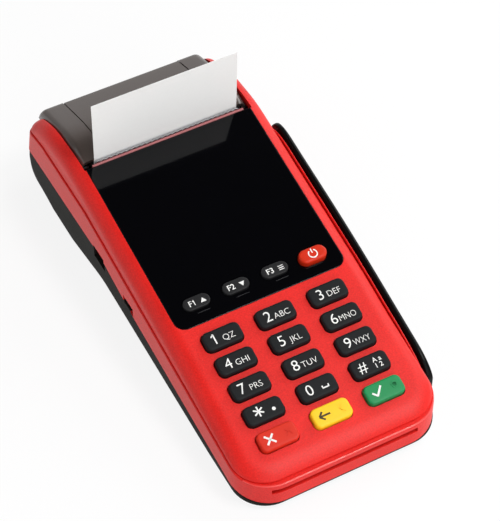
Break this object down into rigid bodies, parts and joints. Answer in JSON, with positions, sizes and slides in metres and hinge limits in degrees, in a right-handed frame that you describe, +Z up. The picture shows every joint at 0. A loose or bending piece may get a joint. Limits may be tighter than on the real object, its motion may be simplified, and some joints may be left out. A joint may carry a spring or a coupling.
{
  "type": "payment terminal",
  "caption": "Hand-held card payment terminal: red case, black base, glossy lens, rubber keypad, swipe rail on the right, card slot in front, receipt printer with hinged smoked cover.",
  "frame": {"origin": "middle of the outer box, on the table the feet stand on", "axes": "+Z up; +Y from the card slot in front to the printer cover at the rear; +X to the right, the side of the swipe rail"},
  "size_m": [0.0812, 0.1792, 0.0712],
  "materials": {
    "red_shell": "fine sand grain, satin",
    "black_base": "fine grain",
    "inner_black": "plain moulded",
    "gloss_black": "polished",
    "lens_glass": "mirror smooth black acrylic",
    "display_glass": "flat panel",
    "key_rubber": "soft matt silicone",
    "key_red": "soft matt silicone",
    "key_yellow": "soft matt silicone",
    "key_green": "soft matt silicone",
    "fkey_grey": "soft matt silicone",
    "power_orange": "soft matt silicone",
    "circuit_board": "solder mask",
    "brass_parts": "machined",
    "steel_parts": "rolled and turned",
    "smoked_cover": "satin smoked grey-brown",
    "platen_rubber": "ground rubber",
    "gear_acetal": "moulded acetal",
    "head_ceramic": "glazed strip",
    "receipt_paper": "smooth thermal paper",
    "core_card": "plain card",
    "battery_wrap": "shrink wrap"
  },
  "bodies": {
    "case": {"top_case": "red_shell", "middle_case": "red_shell", "base_shell": "black_base", "swipe_rail": "gloss_black", "display_lens": "lens_glass", "display_module": "display_glass", "keypad_mat": "key_rubber", "key_board": "circuit_board", "main_board": "circuit_board", "card_reader": "inner_black", "card_contacts": "brass_parts", "mag_spring": "steel_parts", "hinge_pin": "steel_parts", "print_head": "head_ceramic", "head_sink": "steel_parts", "printer_frame": "steel_parts", "printer_motor": "steel_parts", "paper_strip": "receipt_paper", "tear_bar": "steel_parts", "paper_bay": "inner_black", "battery_pack": "battery_wrap", "battery_door": "black_base", "port_board": "circuit_board", "usb_socket": "steel_parts", "power_jack": "inner_black", "loudspeaker": "inner_black", "coin_cell": "steel_parts", "case_screws": "steel_parts", "rubber_feet": "platen_rubber"},
    "key_1": {"key_1": "key_rubber"},
    "key_2": {"key_2": "key_rubber"},
    "key_3": {"key_3": "key_rubber"},
    "key_4": {"key_4": "key_rubber"},
    "key_5": {"key_5": "key_rubber"},
    "key_6": {"key_6": "key_rubber"},
    "key_7": {"key_7": "key_rubber"},
    "key_8": {"key_8": "key_rubber"},
    "key_9": {"key_9": "key_rubber"},
    "key_star": {"key_star": "key_rubber"},
    "key_0": {"key_0": "key_rubber"},
    "key_hash": {"key_hash": "key_rubber"},
    "key_cancel": {"key_cancel": "key_red"},
    "key_clear": {"key_clear": "key_yellow"},
    "key_enter": {"key_enter": "key_green"},
    "key_f1": {"key_f1": "fkey_grey"},
    "key_f2": {"key_f2": "fkey_grey"},
    "key_f3": {"key_f3": "fkey_grey"},
    "key_power": {"key_power": "power_orange"},
    "swipe_head": {"mag_head": "steel_parts"},
    "cover": {"printer_cover": "smoked_cover", "cover_window": "smoked_cover", "platen_bushes": "steel_parts"},
    "roll": {"paper_roll": "receipt_paper", "roll_core": "core_card"},
    "platen": {"platen_shaft": "steel_parts", "platen_roller": "platen_rubber", "platen_gear": "gear_acetal"},
    "idler": {"idler_gear": "gear_acetal"},
    "pinion": {"motor_pinion": "brass_parts"}
  },
  "joints": [
    {"name": "key_1_press", "type": "slide", "parent": "case", "child": "key_1", "axis": [0, 0.2419, -0.9703], "range_m": [0, 0.0008], "stiffness_N_per_m": 150},
    {"name": "key_2_press", "type": "slide", "parent": "case", "child": "key_2", "axis": [0, 0.2419, -0.9703], "range_m": [0, 0.0008], "stiffness_N_per_m": 150},
    {"name": "key_3_press", "type": "slide", "parent": "case", "child": "key_3", "axis": [0, 0.2419, -0.9703], "range_m": [0, 0.0008], "stiffness_N_per_m": 150},
    {"name": "key_4_press", "type": "slide", "parent": "case", "child": "key_4", "axis": [0, 0.2419, -0.9703], "range_m": [0, 0.0008], "stiffness_N_per_m": 150},
    {"name": "key_5_press", "type": "slide", "parent": "case", "child": "key_5", "axis": [0, 0.2419, -0.9703], "range_m": [0, 0.0008], "stiffness_N_per_m": 150},
    {"name": "key_6_press", "type": "slide", "parent": "case", "child": "key_6", "axis": [0, 0.2419, -0.9703], "range_m": [0, 0.0008], "stiffness_N_per_m": 150},
    {"name": "key_7_press", "type": "slide", "parent": "case", "child": "key_7", "axis": [0, 0.2419, -0.9703], "range_m": [0, 0.0008], "stiffness_N_per_m": 150},
    {"name": "key_8_press", "type": "slide", "parent": "case", "child": "key_8", "axis": [0, 0.2419, -0.9703], "range_m": [0, 0.0008], "stiffness_N_per_m": 150},
    {"name": "key_9_press", "type": "slide", "parent": "case", "child": "key_9", "axis": [0, 0.2419, -0.9703], "range_m": [0, 0.0008], "stiffness_N_per_m": 150},
    {"name": "key_star_press", "type": "slide", "parent": "case", "child": "key_star", "axis": [0, 0.2419, -0.9703], "range_m": [0, 0.0008], "stiffness_N_per_m": 150},
    {"name": "key_0_press", "type": "slide", "parent": "case", "child": "key_0", "axis": [0, 0.2419, -0.9703], "range_m": [0, 0.0008], "stiffness_N_per_m": 150},
    {"name": "key_hash_press", "type": "slide", "parent": "case", "child": "key_hash", "axis": [0, 0.2419, -0.9703], "range_m": [0, 0.0008], "stiffness_N_per_m": 150},
    {"name": "key_cancel_press", "type": "slide", "parent": "case", "child": "key_cancel", "axis": [0, 0.2419, -0.9703], "range_m": [0, 0.0008], "stiffness_N_per_m": 150},
    {"name": "key_clear_press", "type": "slide", "parent": "case", "child": "key_clear", "axis": [0, 0.2419, -0.9703], "range_m": [0, 0.0008], "stiffness_N_per_m": 150},
    {"name": "key_enter_press", "type": "slide", "parent": "case", "child": "key_enter", "axis": [0, 0.2419, -0.9703], "range_m": [0, 0.0008], "stiffness_N_per_m": 150},
    {"name": "key_f1_press", "type": "slide", "parent": "case", "child": "key_f1", "axis": [0, 0.1822, -0.9833], "range_m": [0, 0.0005], "stiffness_N_per_m": 150},
    {"name": "key_f2_press", "type": "slide", "parent": "case", "child": "key_f2", "axis": [0, 0.1822, -0.9833], "range_m": [0, 0.0005], "stiffness_N_per_m": 150},
    {"name": "key_f3_press", "type": "slide", "parent": "case", "child": "key_f3", "axis": [0, 0.1822, -0.9833], "range_m": [0, 0.0005], "stiffness_N_per_m": 150},
    {"name": "key_power_press", "type": "slide", "parent": "case", "child": "key_power", "axis": [0, 0.1822, -0.9833], "range_m": [0, 0.0008], "stiffness_N_per_m": 150},
    {"name": "mag_head_give", "type": "slide", "parent": "case", "child": "swipe_head", "axis": [-1, 0, 0], "range_m": [0, 0.0005], "stiffness_N_per_m": 150},
    {"name": "cover_hinge", "type": "hinge", "parent": "case", "child": "cover", "pos_m": [-0.002, 0.08051, 0.03273], "axis": [-1, 0, 0], "range_deg": [0, 95]},
    {"name": "roll_turn", "type": "hinge", "parent": "case", "child": "roll", "pos_m": [-0.002, 0.0644, 0.0191], "axis": [1, 0, 0], "continuous": true},
    {"name": "platen_turn", "type": "hinge", "parent": "cover", "child": "platen", "pos_m": [-0.002, 0.05099, 0.03473], "axis": [1, 0, 0], "continuous": true},
    {"name": "idler_turn", "type": "hinge", "parent": "case", "child": "idler", "pos_m": [0.02875, 0.05099, 0.02313], "axis": [1, 0, 0], "continuous": true},
    {"name": "motor_turn", "type": "hinge", "parent": "case", "child": "pinion", "pos_m": [0.02875, 0.04138, 0.01915], "axis": [1, 0, 0], "continuous": true}
  ],
  "couplings": [
    {"joint": "platen_turn", "follows": "roll_turn", "ratio": 3.75},
    {"joint": "idler_turn", "follows": "roll_turn", "ratio": -3.0469},
    {"joint": "motor_turn", "follows": "roll_turn", "ratio": 4.875}
  ]
}
